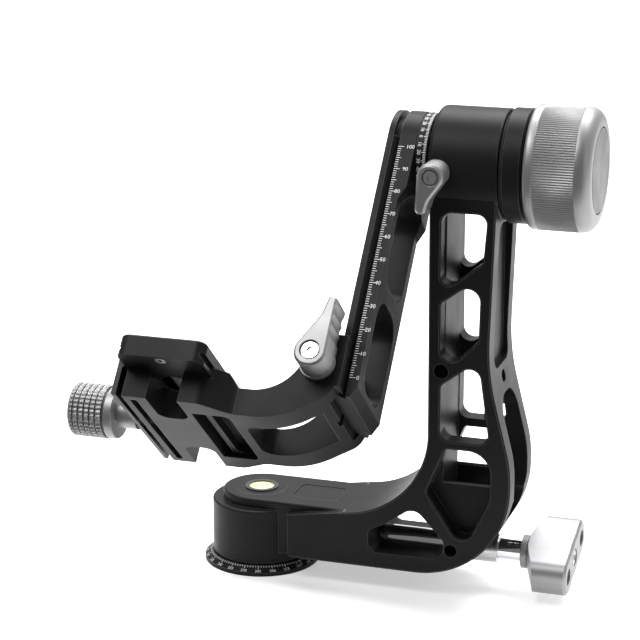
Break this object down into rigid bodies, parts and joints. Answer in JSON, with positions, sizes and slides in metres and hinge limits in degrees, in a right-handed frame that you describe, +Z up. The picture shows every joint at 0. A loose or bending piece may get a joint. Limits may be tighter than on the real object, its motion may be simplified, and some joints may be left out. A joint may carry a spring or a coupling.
{
  "type": "gimbal tripod head",
  "caption": "Black gimbal tripod head with an L-shaped frame, a swinging arm with a sliding cradle and quick-release plate, a silver drag knob, lock levers and a wing knob.",
  "frame": {"origin": "on the pan axis, in the bottom face of the base disc", "axes": "+Z up along the pan axis; +X parallel to the tilt axis, towards the drag knob; +Y away from the side with the two lock levers"},
  "size_m": [0.1924, 0.1353, 0.205],
  "materials": {
    "black_body": "satin",
    "black_parts": "satin",
    "silver": "satin",
    "steel": "satin",
    "chrome": "polished",
    "rubber": "matte",
    "bush_metal": "satin",
    "nylon": "matte",
    "ring_black": "gloss",
    "vial": "gloss"
  },
  "bodies": {
    "base": {"base_disc": "black_body", "tripod_bush": "steel", "pan_spindle": "steel", "pan_bearing_inner_race": "steel", "pan_nut": "steel"},
    "frame": {"main_frame": "black_body", "pan_thrust_washer": "nylon", "pan_bearing_outer_race": "steel", "pan_bearing_balls": "steel", "hub_cap": "black_body", "level_ring": "ring_black", "level_vial": "vial", "badge_plate": "black_body", "frame_screw": "black_parts", "tilt_bearing_left_outer_race": "steel", "tilt_bearing_right_outer_race": "steel", "tilt_bearing_left_balls": "steel", "tilt_bearing_right_balls": "steel", "friction_disc": "rubber", "rod_bush": "bush_metal", "pan_brake_shoe": "nylon", "tilt_lock_plug": "nylon"},
    "pan_lock": {"pan_lock_rod": "chrome", "pan_lock_knob": "silver", "pan_knob_collar": "silver", "pan_knob_screw": "steel"},
    "swing": {"swing_arm": "black_body", "tilt_scale_ring": "black_body", "tilt_shaft": "steel", "tilt_bearing_left_inner_race": "steel", "tilt_bearing_right_inner_race": "steel", "arm_screw": "black_parts", "arm_stop_screw": "black_parts", "drag_collar": "black_body"},
    "drag_control": {"tilt_drag_knob": "silver", "knob_end_cap": "silver", "drag_washer": "rubber"},
    "tilt_lock": {"tilt_lock_lever": "silver", "tilt_lock_lever_screw": "steel", "tilt_lock_lever_stud": "steel"},
    "cradle": {"cradle_bracket": "black_body", "rail_gib": "black_parts"},
    "cradle_lock": {"cradle_lock_lever": "silver", "cradle_lock_lever_screw": "steel", "cradle_lock_lever_stud": "steel"},
    "jaw": {"clamp_jaw": "black_parts", "clamp_guide_pins": "steel"},
    "jaw_control": {"clamp_knob": "silver", "clamp_screw": "steel"},
    "plate": {"quick_release_plate": "black_body", "plate_pads": "rubber", "plate_stop_screws": "steel"},
    "camera_fixing": {"camera_screw": "steel"}
  },
  "joints": [
    {"name": "pan", "type": "hinge", "parent": "base", "child": "frame", "pos_m": [0, 0, 0.018], "axis": [0, 0, 1], "continuous": true},
    {"name": "pan_lock_turn", "type": "hinge", "parent": "frame", "child": "pan_lock", "pos_m": [0.12, 0, 0.0162], "axis": [1, 0, 0], "range_deg": [-30, 270]},
    {"name": "tilt", "type": "hinge", "parent": "frame", "child": "swing", "pos_m": [0.09, 0, 0.18], "axis": [1, 0, 0], "continuous": true},
    {"name": "drag_turn", "type": "hinge", "parent": "swing", "child": "drag_control", "pos_m": [0.13, 0, 0.18], "axis": [1, 0, 0], "range_deg": [-30, 270]},
    {"name": "tilt_lock_turn", "type": "hinge", "parent": "frame", "child": "tilt_lock", "pos_m": [0.0822, -0.03, 0.18], "axis": [0, 1, 0], "range_deg": [-75, 8]},
    {"name": "cradle_slide", "type": "slide", "parent": "swing", "child": "cradle", "axis": [0, 0.6428, 0.766], "range_m": [-0.005, 0.08]},
    {"name": "cradle_lock_turn", "type": "hinge", "parent": "cradle", "child": "cradle_lock", "pos_m": [0.054, -0.092, 0.1217], "axis": [0, 0.766, -0.6428], "range_deg": [-70, 20]},
    {"name": "jaw_knob_turn", "type": "hinge", "parent": "jaw", "child": "jaw_control", "pos_m": [-0.04, -0.07842, 0.08654], "axis": [-1, 0, 0], "range_deg": [0, 1800]},
    {"name": "jaw_slide", "type": "slide", "parent": "cradle", "child": "jaw", "axis": [-1, 0, 0], "range_m": [0, 0.005]},
    {"name": "plate_slide", "type": "slide", "parent": "cradle", "child": "plate", "axis": [0, 0.766, -0.6428], "range_m": [-0.02, 0.02]},
    {"name": "camera_screw_turn", "type": "hinge", "parent": "plate", "child": "camera_fixing", "pos_m": [-0.00155, -0.07172, 0.0992], "axis": [0, 0.6428, 0.766], "continuous": true}
  ],
  "couplings": [
    {"joint": "jaw_knob_turn", "follows": "jaw_slide", "rad_per_m": 6283}
  ]
}
